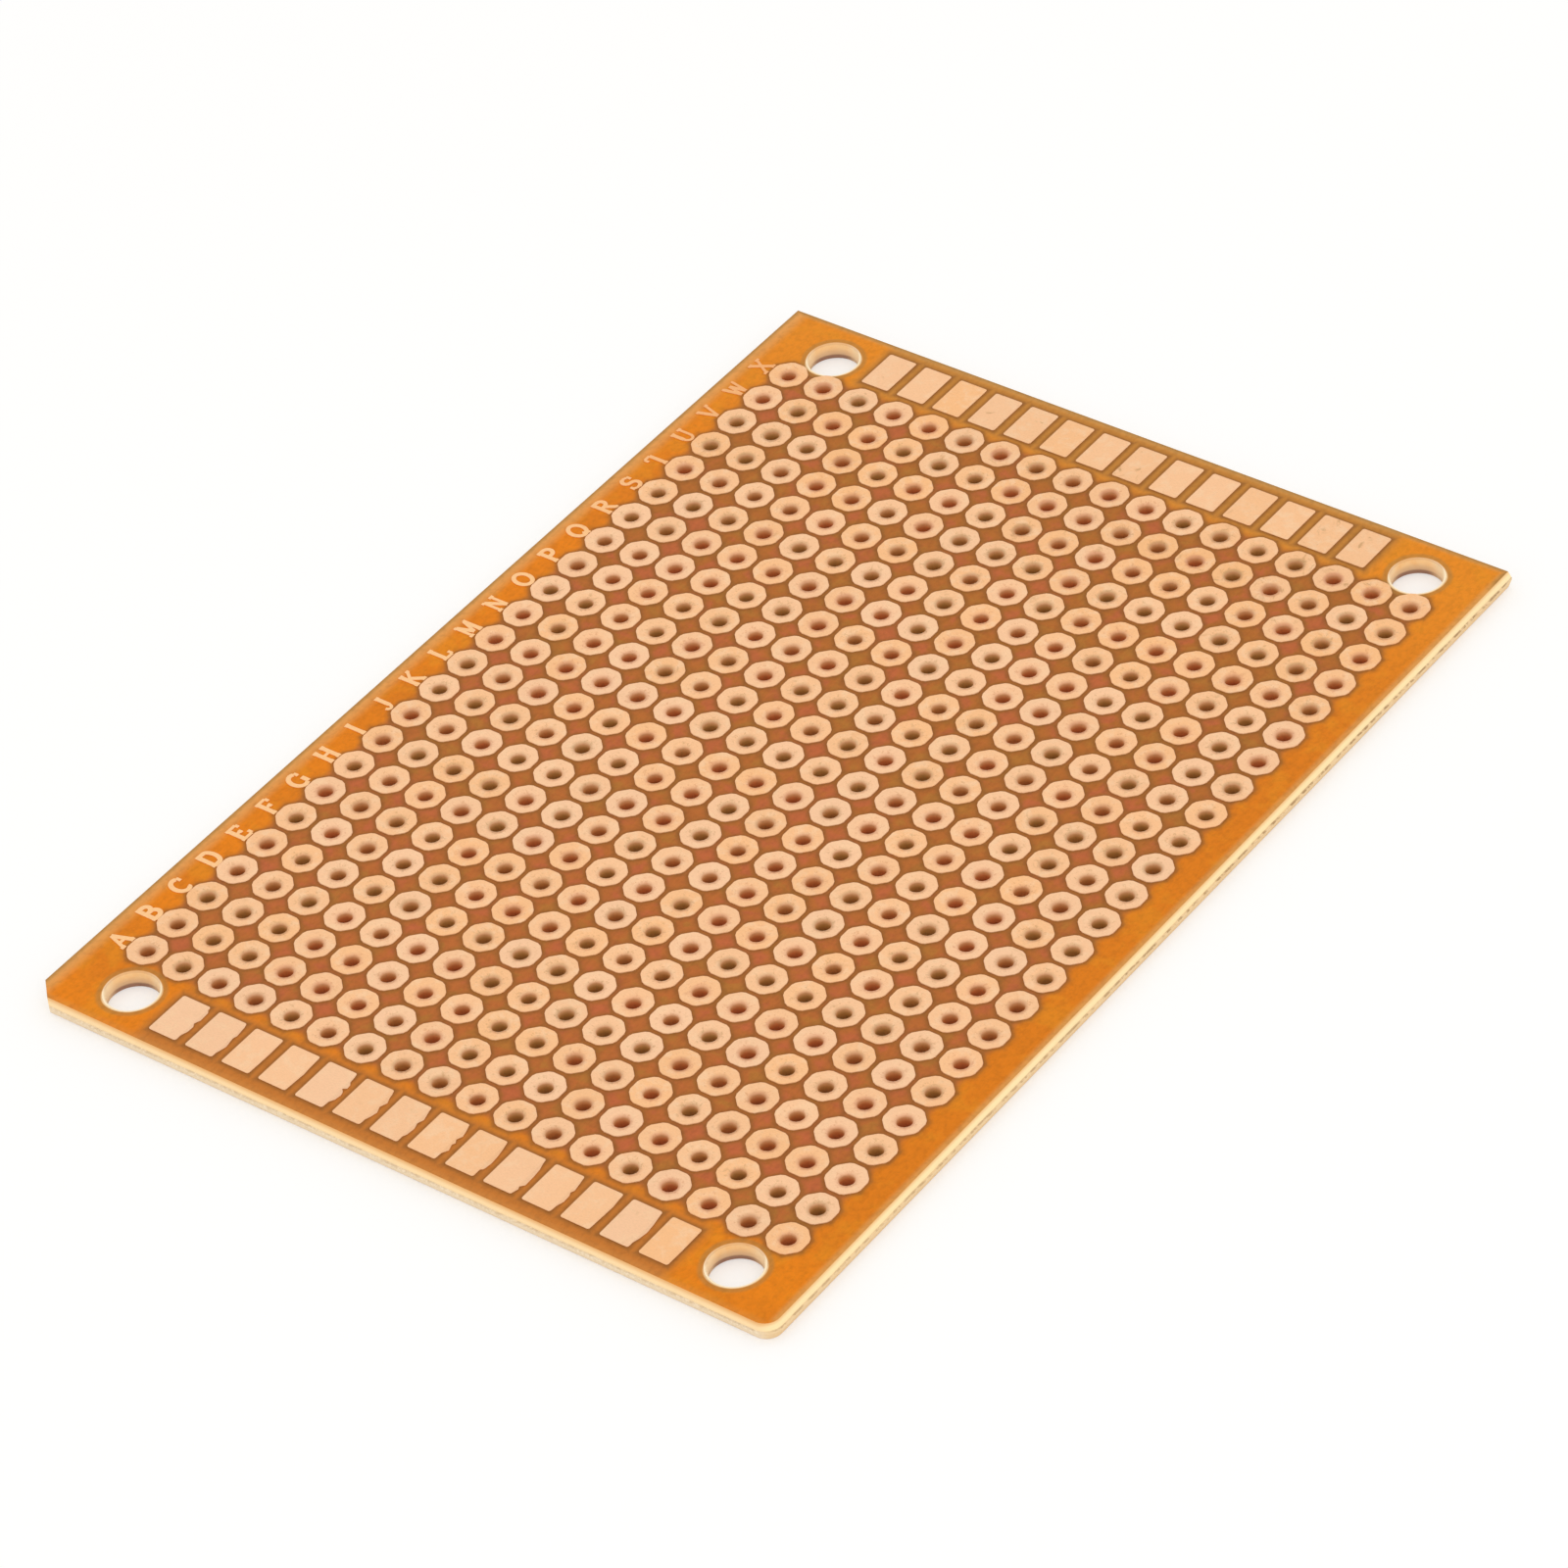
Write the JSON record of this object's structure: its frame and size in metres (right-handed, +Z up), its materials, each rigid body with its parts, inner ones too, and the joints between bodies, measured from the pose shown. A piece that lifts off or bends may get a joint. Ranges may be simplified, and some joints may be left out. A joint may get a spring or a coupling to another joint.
{
  "type": "prototype board",
  "caption": "Single-sided perforated prototype board with octagonal copper pads on a 2.54 mm grid, oblong pads along both short sides and a mounting hole near each corner",
  "frame": {"origin": "middle of the underside, half way between the snapped long edges and half way between the snapped short edges", "axes": "+X across the columns, +Y along the rows from row A towards row X, +Z up out of the copper side"},
  "size_m": [0.05, 0.07, 0.0011],
  "materials": {
    "laminate": "semi-gloss amber phenolic paper laminate",
    "copper": "satin lacquered copper foil"
  },
  "bodies": {
    "root": {"back_pad_01": "copper", "back_pad_02": "copper", "back_pad_03": "copper", "back_pad_04": "copper", "back_pad_05": "copper", "back_pad_06": "copper", "back_pad_07": "copper", "back_pad_08": "copper", "back_pad_09": "copper", "back_pad_10": "copper", "back_pad_11": "copper", "back_pad_12": "copper", "back_pad_13": "copper", "back_pad_14": "copper", "front_pad_01": "copper", "front_pad_02": "copper", "front_pad_03": "copper", "front_pad_04": "copper", "front_pad_05": "copper", "front_pad_06": "copper", "front_pad_07": "copper", "front_pad_08": "copper", "front_pad_09": "copper", "front_pad_10": "copper", "front_pad_11": "copper", "front_pad_12": "copper", "front_pad_13": "copper", "front_pad_14": "copper", "laminate": "laminate", "pads_row_a": "copper", "pads_row_b": "copper", "pads_row_c": "copper", "pads_row_d": "copper", "pads_row_e": "copper", "pads_row_f": "copper", "pads_row_g": "copper", "pads_row_h": "copper", "pads_row_i": "copper", "pads_row_j": "copper", "pads_row_k": "copper", "pads_row_l": "copper", "pads_row_m": "copper", "pads_row_n": "copper", "pads_row_o": "copper", "pads_row_p": "copper", "pads_row_q": "copper", "pads_row_r": "copper", "pads_row_s": "copper", "pads_row_t": "copper", "pads_row_u": "copper", "pads_row_v": "copper", "pads_row_w": "copper", "pads_row_x": "copper"}
  },
  "joints": []
}
